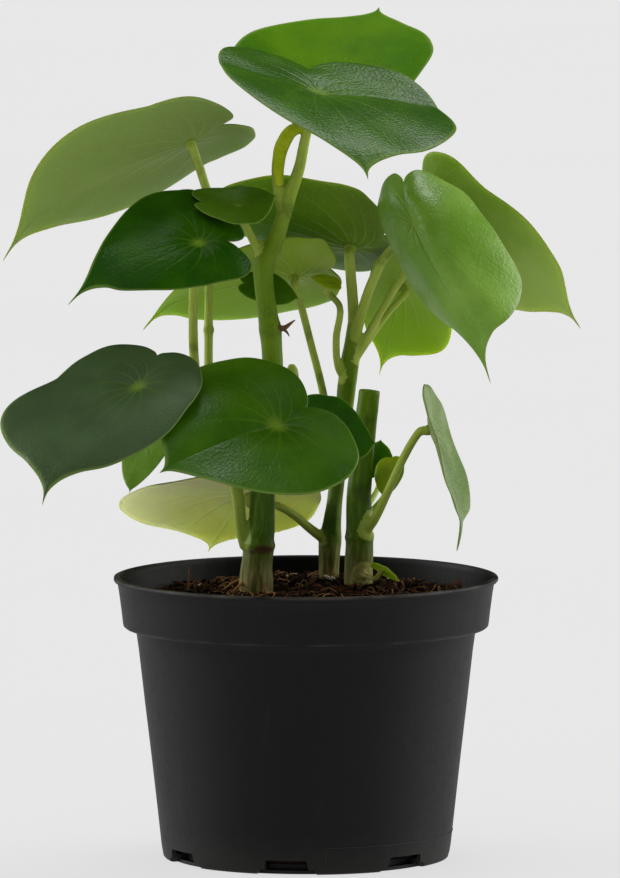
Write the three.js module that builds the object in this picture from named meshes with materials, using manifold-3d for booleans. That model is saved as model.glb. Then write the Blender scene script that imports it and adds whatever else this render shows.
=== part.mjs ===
// A peperomia with large peltate leaves in a round 12 cm nursery pot.
// Millimetres, +Z up, +X to the right, -Y toward the front of the plant.
// The origin is the centre of the pot's base, on the surface the pot stands on.
import * as THREE from 'three';
import { mergeVertices } from 'three/addons/utils/BufferGeometryUtils.js';
import Module from 'manifold-3d';

const wasm = await Module();
wasm.setup();

// ---------- driving dimensions ----------
const potHeight = 88;
const rimRadius = 60;
const collarTopRadius = 58.8;
const collarBottomRadius = 57;
const collarBottom = 72.3;
const wallTopRadius = 52.9;
const wallTop = 71;
const wallBottomRadius = 45.2;
const footRadius = 44.6;
const footRingInner = 38;
const notchInner = 42;
const centrePadRadius = 20;
const floorLift = 1.6;
const wallThickness = 1.2;
const footCount = 7;
const firstNotchAngle = -8;
const notchHalfAngle = 12;
const drainHalfAngle = 9;
const drainTop = 4.5;
const soilLevel = 84;
const gap = 0.35;
const leafThickness = 1.5;
const youngLeafThickness = 0.9;

// ---------- solids ----------
function toManifold(geometry) {
  const numbers = geometry.attributes.position.array;
  const mesh = new wasm.Mesh({
    numProp: 3,
    vertProperties: new Float32Array(numbers),
    triVerts: new Uint32Array(geometry.index.array)
  });
  return new wasm.Manifold(mesh);
}

function toGeometry(solid) {
  const mesh = solid.getMesh();
  const geometry = new THREE.BufferGeometry();
  geometry.setAttribute('position', new THREE.BufferAttribute(new Float32Array(mesh.vertProperties), 3));
  geometry.setIndex(new THREE.BufferAttribute(new Uint32Array(mesh.triVerts), 1));
  return geometry;
}

function indexedGeometry(points, faces) {
  const geometry = new THREE.BufferGeometry();
  const numbers = points.flatMap((point) => [point.x, point.y, point.z]);
  geometry.setAttribute('position', new THREE.BufferAttribute(new Float32Array(numbers), 3));
  geometry.setIndex(new THREE.BufferAttribute(new Uint32Array(faces.flat()), 1));
  return geometry;
}

function joinedGeometry(geometry) {
  geometry.deleteAttribute('normal');
  geometry.deleteAttribute('uv');
  return mergeVertices(geometry);
}

// A solid of revolution about Z from [radius, height] pairs that start and end on the axis.
function turned(profile, segments) {
  const points = profile.map(([radius, height]) => new THREE.Vector2(radius, height));
  return joinedGeometry(new THREE.LatheGeometry(points, segments).rotateX(Math.PI / 2));
}

// A round stalk along a smooth curve through stations [x, y, z, radius]. A thin thread is
// drawn along the curve first and then thickened to each station's radius.
function stalk(stations, extra = 0, sides = 8) {
  const thread = 0.1;
  const curve = new THREE.CatmullRomCurve3(stations.map(([x, y, z]) => new THREE.Vector3(x, y, z)));
  const rings = (stations.length - 1) * 2;
  const corners = [];
  for (let side = 0; side < sides; side += 1) {
    const angle = (2 * Math.PI * side) / sides;
    corners.push(new THREE.Vector2(thread * Math.cos(angle), thread * Math.sin(angle)));
  }
  const options = { steps: rings, bevelEnabled: false, extrudePath: curve };
  const geometry = joinedGeometry(new THREE.ExtrudeGeometry(new THREE.Shape(corners), options));
  const centres = curve.getSpacedPoints(rings);
  const radii = centres.map((centre, ring) => {
    const along = curve.getUtoTmapping(ring / rings) * (stations.length - 1);
    const before = Math.min(Math.floor(along), stations.length - 2);
    const share = along - before;
    return stations[before][3] * (1 - share) + stations[before + 1][3] * share + extra;
  });
  const position = geometry.attributes.position;
  const point = new THREE.Vector3();
  for (let index = 0; index < position.count; index += 1) {
    point.fromBufferAttribute(position, index);
    let ring = 0;
    centres.forEach((centre, candidate) => {
      if (centre.distanceTo(point) < centres[ring].distanceTo(point)) {
        ring = candidate;
      }
    });
    point.sub(centres[ring]).multiplyScalar(radii[ring] / thread).add(centres[ring]);
    position.setXYZ(index, point.x, point.y, point.z);
  }
  return toManifold(geometry);
}

// ---------- leaves ----------
// Half of a heart-shaped blade: [along the midrib, across], tip first, ending in the notch.
const halfBlade = [
  [1, 0], [0.955, 0.03], [0.91, 0.12], [0.84, 0.3], [0.72, 0.55], [0.52, 0.8], [0.3, 0.97],
  [0.05, 1], [-0.3, 0.93], [-0.68, 0.76], [-0.95, 0.48], [-1, 0.25]
];

function bladeOutline(leaf) {
  const half = (belly) => {
    const side = halfBlade.map(([along, across]) => {
      const forward = Math.max(along, 0);
      return [along, across * (1 + belly * 6.75 * forward * forward * (1 - forward))];
    });
    side.push([leaf.notch / 2 - 1, 0.07]);
    return side;
  };
  const right = half(leaf.bellyRight ?? 0);
  const left = half(leaf.bellyLeft ?? 0).map(([along, across]) => [along, -across]);
  const throat = [leaf.notch - 1, 0];
  return [...right, throat, ...left.slice(1).reverse()];
}

function bent(value, softness) {
  const root = Math.sqrt(value * value + softness * softness) - softness;
  return root / (Math.sqrt(1 + softness * softness) - softness);
}

// The blade's middle surface. The leaf is described by where its tip, back and two
// sides reach from the petiole, plus a few bends.
function bladePoint(leaf, along, across) {
  const tip = new THREE.Vector3(...leaf.tip);
  const back = new THREE.Vector3(...leaf.back);
  const left = new THREE.Vector3(...leaf.left);
  const right = new THREE.Vector3(...leaf.right);
  const up = right.clone().sub(left).cross(tip.clone().sub(back)).normalize();
  const point = new THREE.Vector3(...leaf.seat);
  point.addScaledVector(tip.clone().sub(back), along / 2);
  point.addScaledVector(tip.clone().add(back), bent(along, 0.4) / 2);
  point.addScaledVector(right.clone().sub(left), across / 2);
  point.addScaledVector(right.clone().add(left), bent(across, 0.4) / 2);
  const forward = Math.max(along, 0);
  const behind = Math.max(-along, 0);
  const reach = Math.abs(across);
  const onRight = across > 0;
  const bulge = onRight ? leaf.bulgeRight ?? 0 : leaf.bulgeLeft ?? 0;
  const lobe = onRight ? leaf.lobeRight ?? 0 : leaf.lobeLeft ?? 0;
  let lift = 4 * (leaf.arch ?? 0) * forward * (1 - forward);
  lift += 4 * bulge * reach * Math.max(1 - reach, 0);
  lift += 2 * lobe * behind * reach;
  lift -= (leaf.dimple ?? 1.5) * Math.exp(-16 * (along * along + across * across));
  point.addScaledVector(up, lift);
  const hook = new THREE.Vector3(...(leaf.hook ?? [0, 0, 0]));
  const nearTip = Math.max((along - 0.8) / 0.2, 0);
  return point.addScaledVector(hook, nearTip * nearTip);
}

function bladeNormal(leaf, along, across) {
  const step = 0.04;
  const forward = bladePoint(leaf, along + step, across).sub(bladePoint(leaf, along - step, across));
  const sideways = bladePoint(leaf, along, across + step).sub(bladePoint(leaf, along, across - step));
  return sideways.cross(forward).normalize();
}

function blade(leaf, rings = 3) {
  const outline = bladeOutline(leaf);
  const thickness = leaf.young ? youngLeafThickness : leafThickness;
  const upper = [];
  const lower = [];
  const place = (along, across) => {
    const middle = bladePoint(leaf, along, across);
    const offset = bladeNormal(leaf, along * 0.96, across * 0.96).multiplyScalar(thickness / 2);
    upper.push(middle.clone().add(offset));
    lower.push(middle.clone().sub(offset));
  };
  place(0, 0);
  for (let ring = 1; ring <= rings; ring += 1) {
    for (const [along, across] of outline) {
      place((along * ring) / rings, (across * ring) / rings);
    }
  }
  const rays = outline.length;
  const under = upper.length;
  const faces = [];
  for (let ray = 0; ray < rays; ray += 1) {
    const next = (ray + 1) % rays;
    faces.push([0, 1 + next, 1 + ray]);
    faces.push([under, under + 1 + ray, under + 1 + next]);
    for (let ring = 1; ring < rings; ring += 1) {
      const inner = 1 + (ring - 1) * rays;
      const outer = inner + rays;
      faces.push([inner + ray, inner + next, outer + next]);
      faces.push([inner + ray, outer + next, outer + ray]);
      faces.push([under + inner + ray, under + outer + next, under + inner + next]);
      faces.push([under + inner + ray, under + outer + ray, under + outer + next]);
    }
    const rim = 1 + (rings - 1) * rays;
    faces.push([rim + ray, rim + next, under + rim + next]);
    faces.push([rim + ray, under + rim + next, under + rim + ray]);
  }
  return indexedGeometry([...upper, ...lower], faces);
}

// Each leaf: where the petiole meets it, then the reach of tip, back, left and right from there.
const leaves = {
  leaf_crown_front: {
    seat: [4, -4, 240], tip: [15, -44, -20], back: [-4, 20, 7], left: [37, -6, -5.5],
    right: [-31, 5.5, 8], hook: [0, -3, -4], notch: 0.35, arch: 2, lobeLeft: 4, lobeRight: 1,
    bellyLeft: 0.15, bellyRight: 0.15
  },
  leaf_crown_back: {
    seat: [6, 14, 239.5], tip: [18, 40, 22], back: [-3, -7, -5], left: [-30, 2, 10],
    right: [29.5, 4, 3.5], hook: [-1, -2, 1], notch: 0.2, arch: 1, bellyRight: 0.05
  },
  leaf_upper_left: {
    seat: [-37, 10, 224], tip: [-56, -12, -29.5], back: [17, 4, 5], left: [-12, -18, 11.5],
    right: [9, 16, -8], hook: [-1, 0, -8], notch: 0.75, arch: 2, bellyLeft: 0.4, bellyRight: 0.6
  },
  leaf_mid_left: {
    seat: [-33, -16, 194], tip: [-36.5, -16, -11.5], back: [15, 6, -3], left: [2, -10, -13],
    right: [-7, 20, 14], hook: [-4, 0, -7], notch: 0.6, arch: 2, bellyRight: 0.1
  },
  leaf_small_left: {
    seat: [-21, -2, 204], tip: [12, -1, 3], back: [-14, -2, 2], left: [-2, 10, 5], right: [1, -10, -5],
    notch: 0.2, bellyRight: 0.3, dimple: 0.5, young: true
  },
  leaf_inner_back: {
    seat: [14, 30, 190], tip: [-50, -4, 12], back: [12, -4, 4], left: [-10, -18, 21],
    right: [1, 16, -11], notch: 0.3, lobeRight: 2
  },
  leaf_back_left: {
    seat: [-4, 26, 181], tip: [-46, 4, -13], back: [14, -2, 1], left: [-2, -16, 12],
    right: [3, 18, -13.5], hook: [-1, 0, -6], notch: 0.3, arch: 1, bellyLeft: 0.1, bellyRight: 0.1
  },
  leaf_right_front: {
    seat: [33, -12, 199], tip: [23, -12, -39.5], back: [-2, 18, 15], left: [27, 4, -5],
    right: [-8, 22, -6], hook: [1, 0, -9], notch: 0.3, arch: 1, bulgeLeft: 3, bellyLeft: 0.15,
    bellyRight: 0.15
  },
  leaf_right_back: {
    seat: [45, 22, 199], tip: [40, -6, -31], back: [-10, 4, 15.5], left: [-7, 18, -17],
    right: [11, -16, 10], hook: [1, 0, -4], notch: 0.3, arch: 1, bellyLeft: 0.1, bellyRight: 0.05
  },
  leaf_right_under: {
    seat: [30, 38, 176], tip: [-6, 12, -25], back: [0, -5, 10], left: [-11, -6, -1],
    right: [16, 8, -15], hook: [-1, 0, -5], notch: 0.3
  },
  leaf_low_left: {
    seat: [-52, -34, 151], tip: [-30, -18, -29.5], back: [7, 16, 10], left: [17, -8, -5],
    right: [-25.5, 14, 1], hook: [1, 0, -6], notch: 0.3, arch: 2, bellyLeft: 0.35, bellyRight: 0.4
  },
  leaf_low_front: {
    seat: [-9, -34, 139], tip: [-35, -20, -12], back: [12.5, 8, 6.5], left: [20, -16, -16.5],
    right: [-24, 21, 15.5], hook: [-1, 0, -1], notch: 0.35, arch: 1, bulgeRight: 4, bellyLeft: 0.1,
    bellyRight: 0.1
  },
  leaf_low_back: {
    seat: [-18, 24, 113], tip: [-12, 24, -20], back: [3, -14, 5], left: [-39, -6, -2],
    right: [22.3, 8, -5.5], hook: [-1, 0, -3], notch: 0.3, bellyRight: 0.15
  },
  leaf_right_low: {
    seat: [40.5, 8, 133.5], tip: [9.5, -6, -33], back: [-3.5, 0, 14], left: [5.5, 20, -5],
    right: [-0.5, -22, -1], hook: [-3, 0, -5], notch: 0.1, bellyLeft: 0.4, bellyRight: 0.05
  },
  leaf_tucked_low: {
    seat: [-50, -2, 130], tip: [-5, -8, -15], back: [3, 3, 5], left: [9, -1, 2], right: [-6, 2, 2],
    notch: 0.2, dimple: 0.4, young: true
  },
  leaf_behind_stem: {
    seat: [-13, 9, 178], tip: [11, -1, -4], back: [-8, 0, 1], left: [1, 4, 4], right: [-1, -3, -5],
    notch: 0.2, dimple: 0.4, young: true
  },
  leaf_tucked_centre: {
    seat: [8, -14, 136], tip: [14, -2, -5], back: [-9, 1, 3], left: [-2, 5, 9.5], right: [1, -6, -9],
    notch: 0.2, bellyLeft: 0.3, dimple: 0.4, young: true
  },
  leaf_young_dark: {
    seat: [22.5, 30, 120], tip: [1, -1, 8], back: [-1, 2, -5], left: [-5, 1, 1], right: [5, -2, -1],
    notch: 0.2, dimple: 0.3, young: true
  },
  leaf_young_bright: {
    seat: [25.8, 20, 119], tip: [-1, -5, -8.5], back: [1, 3, 4], left: [5, -1, 1], right: [-4.2, 2, 0],
    notch: 0.2, dimple: 0.3, young: true
  },
  leaf_bract: {
    seat: [8, 20, 178], tip: [-7, -2, 2], back: [3, 1, -1], left: [0, -2, -2], right: [0, 2, 2],
    notch: 0.15, dimple: 0.2, young: true
  },
  leaf_sprout: {
    seat: [24, 8, 89], tip: [5, -2, -3.5], back: [-4, 1, 2], left: [-1, 2, -1], right: [1, -2, 1],
    notch: 0.15, dimple: 0.2, young: true
  }
};

// A petiole's last stations approach its leaf along the blade's underside.
function petiole(leafName, stations) {
  const leaf = leaves[leafName];
  const radius = stations.at(-1)[3];
  const normal = bladeNormal(leaf, 0, 0);
  const seat = bladePoint(leaf, 0, 0);
  const thickness = leaf.young ? youngLeafThickness : leafThickness;
  const station = (depth) => [...seat.clone().addScaledVector(normal, -depth).toArray(), radius];
  return [...stations, station(thickness / 2 + 3.5), station(thickness / 2 + gap + 0.15)];
}

// Stems with the petioles that grow out of them: lists of [x, y, z, radius] stations.
const stems = {
  stem_left: [
    [[-15.6, 0, 62, 5], [-15.6, 0, 86, 5.3], [-15.2, 0, 94, 4.9], [-14.6, 0, 98, 5.2],
      [-13.8, 0, 104, 4.2], [-13.4, 0, 125, 3.9], [-10.5, 0, 152, 3.4], [-11.2, 0, 166, 3.3],
      [-13.2, 0, 180, 3.1], [-12.9, 0, 187, 3.4], [-10.4, 0, 191, 2.8], [-8.2, 0, 197, 2.5],
      [-5.4, 0, 206, 2.2]],
    petiole('leaf_crown_front', [[-7, 0, 201, 2.1], [-4.4, 0, 209, 2.1], [-2, 0, 216, 1.8],
      [0, -1, 226, 1.6]]),
    petiole('leaf_crown_back', [[-7, 0, 202, 2], [-8.4, 1, 208, 1.9], [-8.8, 2, 216, 2],
      [-7.4, 4, 223, 1.8], [-3.6, 7, 227.5, 1.6]]),
    petiole('leaf_small_left', [[-13, 0, 188, 1.6], [-16.5, 0, 193, 1.4], [-19, 0, 198, 1.2]]),
    petiole('leaf_low_front', [[-13.6, 0, 116, 1.8], [-12, -9, 121, 1.6], [-10, -20, 128, 1.5]]),
    petiole('leaf_behind_stem', [[-12, 1, 164, 1.1], [-12.6, 5, 168, 0.9]]),
    [[-18.5, 0, 97, 2.2], [-20.4, -0.8, 104, 1.9], [-21.4, -2, 114, 2], [-24, -2, 124, 2.1],
      [-30, -1, 140, 1.9]],
    petiole('leaf_mid_left', [[-28, -1, 134, 1.7], [-33.5, -1, 148, 1.6], [-35, -2, 160, 1.5],
      [-35, -4, 178, 1.5]]),
    petiole('leaf_upper_left', [[-28, -1, 134, 1.7], [-30.2, 3, 148, 1.5], [-30.4, 5, 162, 1.45],
      [-30.2, 8, 184, 1.45], [-30.2, 10.5, 203, 1.4], [-32, 9.5, 211, 1.45]]),
    petiole('leaf_low_left', [[-23, -2, 119, 1.8], [-34, -2, 129, 1.6], [-43, -9, 138, 1.5]]),
    petiole('leaf_tucked_low', [[-26, -1, 128, 1.1], [-38, 4, 133, 0.9]]),
    petiole('leaf_tucked_centre', [[-12.6, -2, 124, 1.2], [-3, -8, 127, 1]]),
    [[-11, 1, 138, 1.4], [-6.4, 3, 143, 1.9], [-4.6, 3.5, 148, 2.3], [-4.4, 3.5, 152, 1.9],
      [-4.5, 3.5, 154, 0.9]]
  ],
  stem_middle: [
    [[7, 33, 62, 3], [7.1, 33, 84, 3.1], [7.3, 32, 94, 3.5], [8.2, 31, 102, 2.9],
      [9.2, 31, 110, 2.5], [11.3, 30, 130, 2.6], [13, 29, 147, 2.9], [14.5, 28, 157, 2.7],
      [15, 28, 164, 2.2]],
    petiole('leaf_inner_back', [[14.8, 28, 160, 2], [14.8, 28, 168, 1.8], [14.2, 28, 177, 1.7]]),
    petiole('leaf_right_front', [[14.5, 28, 157, 2], [17, 24, 167, 1.7], [20.5, 18, 178, 1.6],
      [25, 15, 187, 1.5], [30, 10, 192, 1.4]]),
    petiole('leaf_right_back', [[14.6, 28, 153, 1.5], [18.7, 27, 160, 1.3], [25, 26, 171, 1.2],
      [33, 22, 184, 1.2]]),
    petiole('leaf_right_under', [[14.6, 28, 152, 1.3], [20, 28, 160, 1.2], [26, 30, 168, 1.1]]),
    petiole('leaf_back_left', [[9.6, 31, 116, 1.6], [7.6, 31, 130, 1.4], [5, 30, 144, 1.3],
      [1.5, 28, 158, 1.25], [-1.5, 25, 170, 1.25]]),
    petiole('leaf_low_back', [[7.2, 32, 95, 1.8], [1.5, 29, 99.5, 1.5], [-4, 25, 104.5, 1.35],
      [-10, 21, 108, 1.25]]),
    petiole('leaf_bract', [[13, 29, 146, 1.4], [10, 27, 151, 1.2], [9.4, 25, 160, 1.2],
      [10.6, 22, 170, 1.1]])
  ],
  stem_right: [
    [[16.4, 18, 62, 4.4], [16.4, 18, 85, 4.6], [16.7, 18, 97, 4.5], [16.6, 18, 110, 3.9],
      [17.8, 18, 126, 3.6], [19.8, 18, 145, 3.4]],
    petiole('leaf_right_low', [[17.5, 17, 99, 1.9], [21.5, 14, 104.5, 1.5], [25, 12, 112, 1.4],
      [30.4, 10, 124, 1.35]]),
    petiole('leaf_young_bright', [[18.5, 19, 104, 1.3], [24, 23.5, 110, 0.9]]),
    petiole('leaf_young_dark', [[18, 20, 106, 1.2], [22.5, 34, 112, 0.9]]),
    petiole('leaf_sprout', [[17, 15, 87, 1], [20, 10, 86.4, 0.8]])
  ]
};

// ---------- the parts ----------
const group = new THREE.Group();
group.name = 'potted_peperomia';

function addNode(name, geometry, colour, roughness) {
  geometry.computeVertexNormals();
  const material = new THREE.MeshStandardMaterial({ color: colour, roughness, metalness: 0 });
  material.name = `${name}_finish`;
  const mesh = new THREE.Mesh(geometry, material);
  mesh.name = name;
  group.add(mesh);
}

// A block between two radii whose ends lean in toward its top.
function sectorBlock(inner, outer, bottom, top, middleAngle, halfBottom, halfTop) {
  const steps = 4;
  const points = [];
  for (let step = 0; step <= steps; step += 1) {
    const share = (2 * step) / steps - 1;
    for (const [height, half] of [[bottom, halfBottom], [top, halfTop]]) {
      const angle = THREE.MathUtils.degToRad(middleAngle + share * half);
      for (const radius of [inner, outer]) {
        points.push(new THREE.Vector3(radius * Math.sin(angle), -radius * Math.cos(angle), height));
      }
    }
  }
  const faces = [];
  const quad = (a, b, c, d) => faces.push([a, b, c], [a, c, d]);
  quad(0, 2, 3, 1);
  for (let step = 0; step < steps; step += 1) {
    const here = step * 4;
    const there = here + 4;
    quad(here, here + 1, there + 1, there);
    quad(here + 2, there + 2, there + 3, here + 3);
    quad(here + 1, here + 3, there + 3, there + 1);
    quad(here, there, there + 2, here + 2);
  }
  const last = steps * 4;
  quad(last, last + 1, last + 3, last + 2);
  return toManifold(indexedGeometry(points, faces.map(([a, b, c]) => [a, c, b])));
}

const potProfile = [
  [0, 0], [centrePadRadius, 0], [centrePadRadius, floorLift], [footRingInner, floorLift],
  [footRingInner, 0], [footRadius - 0.6, 0], [footRadius, 0.6], [wallBottomRadius, 4],
  [wallTopRadius, wallTop], [collarBottomRadius - 0.4, collarBottom - 0.4],
  [collarBottomRadius, collarBottom], [collarTopRadius, potHeight - 2],
  [rimRadius - 0.2, potHeight - 1.5], [rimRadius, potHeight - 1], [rimRadius - 0.1, potHeight - 0.3],
  [rimRadius - 0.5, potHeight], [collarTopRadius - 0.6, potHeight],
  [collarTopRadius - wallThickness, potHeight - 1.2],
  [collarBottomRadius - wallThickness, collarBottom + 1], [wallTopRadius - wallThickness, wallTop + 0.3],
  [wallBottomRadius - wallThickness, 4], [footRadius - wallThickness - 0.4, floorLift + wallThickness],
  [centrePadRadius + 1, floorLift + wallThickness], [centrePadRadius - 1.4, wallThickness],
  [0, wallThickness]
];

let pot = toManifold(turned(potProfile, 64));
for (let foot = 0; foot < footCount; foot += 1) {
  const angle = firstNotchAngle + (360 / footCount) * foot;
  const notch = sectorBlock(notchInner, 50, -2, floorLift, angle, notchHalfAngle + 2, notchHalfAngle - 1);
  const drain = sectorBlock(40, 50, floorLift - 0.5, drainTop, angle, drainHalfAngle, drainHalfAngle - 1);
  pot = pot.subtract(notch).subtract(drain);
}
addNode('nursery_pot', toGeometry(pot), 0x191a1a, 0.6);

const soilProfile = [
  [0, wallThickness + gap], [centrePadRadius - 2, wallThickness + gap],
  [centrePadRadius + 0.8, floorLift + wallThickness + gap],
  [footRadius - wallThickness - 1, floorLift + wallThickness + gap],
  [wallBottomRadius - wallThickness - 0.5, 5], [wallTopRadius - wallThickness - 0.5, wallTop + 0.5],
  [collarBottomRadius - wallThickness - 0.6, collarBottom + 1.4],
  [collarTopRadius - wallThickness - 1.4, soilLevel - 3], [52, soilLevel - 1.6], [42, soilLevel - 0.6],
  [26, soilLevel], [12, soilLevel - 0.3], [0, soilLevel - 0.4]
];

let soil = toManifold(turned(soilProfile, 48));
const stemColours = { stem_left: 0x55791f, stem_middle: 0x567c22, stem_right: 0x4a7020 };
for (const [name, branches] of Object.entries(stems)) {
  let stem = stalk(branches[0], 0, 14);
  for (const branch of branches.slice(1)) {
    stem = stem.add(stalk(branch));
  }
  const [[x, y, foot, radius], ...above] = branches[0];
  soil = soil.subtract(stalk([[x, y, foot - 1, radius], ...above], gap + 0.15, 14));
  addNode(name, toGeometry(stem), stemColours[name], 0.5);
}
addNode('potting_soil', toGeometry(soil), 0x2e2119, 0.95);

for (const [name, leaf] of Object.entries(leaves)) {
  addNode(name, blade(leaf, leaf.young ? 2 : 3), leaf.young ? 0x5c8f1c : 0x2e6a16, 0.35);
}

export default group;
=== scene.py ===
import math
import random

import bmesh
import bpy
import numpy as np
from mathutils import Matrix, Vector, noise
from mathutils.kdtree import KDTree


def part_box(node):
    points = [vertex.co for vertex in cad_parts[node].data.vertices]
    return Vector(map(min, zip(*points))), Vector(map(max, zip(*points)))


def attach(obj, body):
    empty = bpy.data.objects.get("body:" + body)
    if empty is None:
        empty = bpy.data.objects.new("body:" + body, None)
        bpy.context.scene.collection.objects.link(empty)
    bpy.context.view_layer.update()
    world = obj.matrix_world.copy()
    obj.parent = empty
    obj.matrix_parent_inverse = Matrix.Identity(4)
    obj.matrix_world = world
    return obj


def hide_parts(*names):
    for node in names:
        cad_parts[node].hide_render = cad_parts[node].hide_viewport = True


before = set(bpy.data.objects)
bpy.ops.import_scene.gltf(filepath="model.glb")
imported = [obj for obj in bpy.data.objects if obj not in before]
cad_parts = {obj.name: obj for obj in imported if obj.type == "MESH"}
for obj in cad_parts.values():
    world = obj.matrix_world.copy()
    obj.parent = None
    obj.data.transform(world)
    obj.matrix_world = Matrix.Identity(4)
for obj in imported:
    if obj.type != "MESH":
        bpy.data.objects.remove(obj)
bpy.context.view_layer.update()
MM = 0.001
random.seed(7)


# ---------- writing materials ----------
def tone(red, green, blue):
    """A colour mixed on a 0 to 255 scale, as the shader wants it."""
    parts = []
    for part in (red, green, blue):
        part = part / 255
        parts.append(part / 12.92 if part <= 0.04045 else ((part + 0.055) / 1.055) ** 2.4)
    return (*parts, 1.0)


class Value:
    """One node output, used in plain expressions."""

    def __init__(self, finish, socket):
        self.finish = finish
        self.socket = socket

    def math(self, operation, first, *others):
        return self.finish.node("ShaderNodeMath", {"operation": operation}, first, *others)

    def __add__(self, other):
        return self.math("ADD", self, other)

    def __sub__(self, other):
        return self.math("SUBTRACT", self, other)

    def __rsub__(self, other):
        return self.math("SUBTRACT", other, self)

    def __mul__(self, other):
        return self.math("MULTIPLY", self, other)

    def __truediv__(self, other):
        return self.math("DIVIDE", self, other)

    def __pow__(self, other):
        return self.math("POWER", self, other)

    __radd__ = __add__
    __rmul__ = __mul__


class Finish:
    """A material and the one way its nodes are added."""

    def __init__(self, name):
        self.material = bpy.data.materials.new(name)
        self.material.use_nodes = True
        self.tree = self.material.node_tree
        self.shader = self.tree.nodes["Principled BSDF"]

    def node(self, kind, settings, *values, out=0, **named):
        made = self.tree.nodes.new(kind)
        for key, setting in settings.items():
            if key == "stops":
                ramp = made.color_ramp
                while len(ramp.elements) < len(setting):
                    ramp.elements.new(0.5)
                for element, (place, colour) in zip(ramp.elements, setting):
                    element.position = place
                    element.color = colour
            else:
                setattr(made, key, setting)
        for index, value in enumerate(values):
            self.feed(made.inputs[index], value)
        for key, value in named.items():
            self.feed(made.inputs[key.replace("_", " ")], value)
        return Value(self, made.outputs[out])

    def feed(self, socket, value):
        if isinstance(value, Value):
            self.tree.links.new(value.socket, socket)
        elif value is not None:
            socket.default_value = value

    def mix(self, share, first, second):
        made = self.node("ShaderNodeMix", {"data_type": "RGBA"}, share, out=2)
        for index, value in ((6, first), (7, second)):
            self.feed(made.socket.node.inputs[index], value)
        return made

    def place(self):
        return self.node("ShaderNodeTexCoord", {}, out=3)

    def stretched(self, vector, scale):
        return self.node("ShaderNodeMapping", {}, vector, Scale=scale)

    def grain(self, vector, scale, detail=3.0, rough=0.5, warp=0.0):
        return self.node("ShaderNodeTexNoise", {}, Vector=vector, Scale=scale, Detail=detail,
                         Roughness=rough, Distortion=warp)

    def cells(self, vector, scale, feature="F1"):
        return self.node("ShaderNodeTexVoronoi", {"feature": feature}, Vector=vector, Scale=scale)

    def ramp(self, value, *stops):
        return self.node("ShaderNodeValToRGB", {"stops": stops}, value)

    def fade(self, value, start, end):
        """0 before start, 1 after end, and smooth between them."""
        settings = {"interpolation_type": "SMOOTHSTEP"}
        return self.node("ShaderNodeMapRange", settings, value, start, end, 0.0, 1.0)

    def bump(self, height, depth, strength=1.0, below=None):
        return self.node("ShaderNodeBump", {}, Strength=strength, Distance=depth, Height=height,
                         Normal=below)

    def apply(self, **sockets):
        for key, value in sockets.items():
            self.feed(self.shader.inputs[key.replace("_", " ")], value)
        return self.material


# ---------- finishes ----------
def blade_marks(finish):
    """What every leaf face is painted from: its own two coordinates, veins and margin."""
    spread = finish.node("ShaderNodeUVMap", {"uv_map": "blade"})
    split = finish.node("ShaderNodeSeparateXYZ", {}, spread)
    along = Value(finish, split.socket.node.outputs[0]) * 2 - 1
    across = Value(finish, split.socket.node.outputs[1]) * 2 - 1
    reach = (along * along + across * across) ** 0.5
    angle = split.math("ARCTAN2", across, along) / (1 - reach * 0.28)
    offset = split.math("PINGPONG", angle, 0.27)
    width = offset * reach
    vein = 1 - finish.fade(width, 0.002, 0.022)
    rim = finish.node("ShaderNodeAttribute", {"attribute_name": "rim"}, out=2)
    return along, reach, vein, rim


def leaf_top(name, deep, fresh_and_sheen, spot, gloss=0.32, shine=0.3, soft=0.1):
    finish = Finish(name)
    along, reach, vein, rim = blade_marks(finish)
    place = finish.place()
    cloud = finish.grain(place, 38, 4, 0.6)
    fleck = finish.grain(place, 420, 3, 0.65)
    # The lighter second colour mixed in by the clouds; in sheeny_top it is painted sheen.
    colour = finish.mix(finish.fade(cloud, 0.32, 0.7), deep, fresh_and_sheen)
    colour = finish.mix(finish.fade(fleck, 0.55, 0.75) * 0.3, colour, fresh_and_sheen)
    near = 1 - finish.fade(reach, 0.05, 0.75)
    colour = finish.mix(vein * (0.15 + near * 0.85) * 0.16, colour, spot)
    heart = (1 - finish.fade(reach + (cloud - 0.5) * 0.1, 0.0, 0.15)) * 0.6
    colour = finish.mix(heart, colour, spot)
    margin = finish.fade(rim, 0.965, 0.995)
    colour = finish.mix(margin * 0.55, colour, tone(112, 132, 62))
    speck = 1 - finish.fade(finish.cells(place, 95), 0.04, 0.075)
    patch = finish.fade(finish.grain(place, 22, 2), 0.6, 0.7)
    colour = finish.mix(speck * patch * 0.5, colour, tone(120, 118, 58))
    skin = finish.grain(place, 1500, 2, 0.6)
    pores = finish.cells(place, 900)
    folds = finish.grain(place, 150, 3, 0.55, 0.4)
    height = vein * (0.3 + near * 0.7) * -0.25 + folds * 0.22 + pores * 0.3 + skin * 0.3
    rough = gloss + (cloud - 0.5) * 0.16 + finish.fade(fleck, 0.5, 0.8) * 0.1
    finish.apply(Subsurface_Weight=soft, Subsurface_Radius=(1.0, 1.6, 0.3),
                 Subsurface_Scale=0.002, Specular_IOR_Level=shine)
    return finish.apply(Base_Color=colour, Roughness=rough,
                        Normal=finish.bump(height, 0.0006, 0.5))


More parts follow.
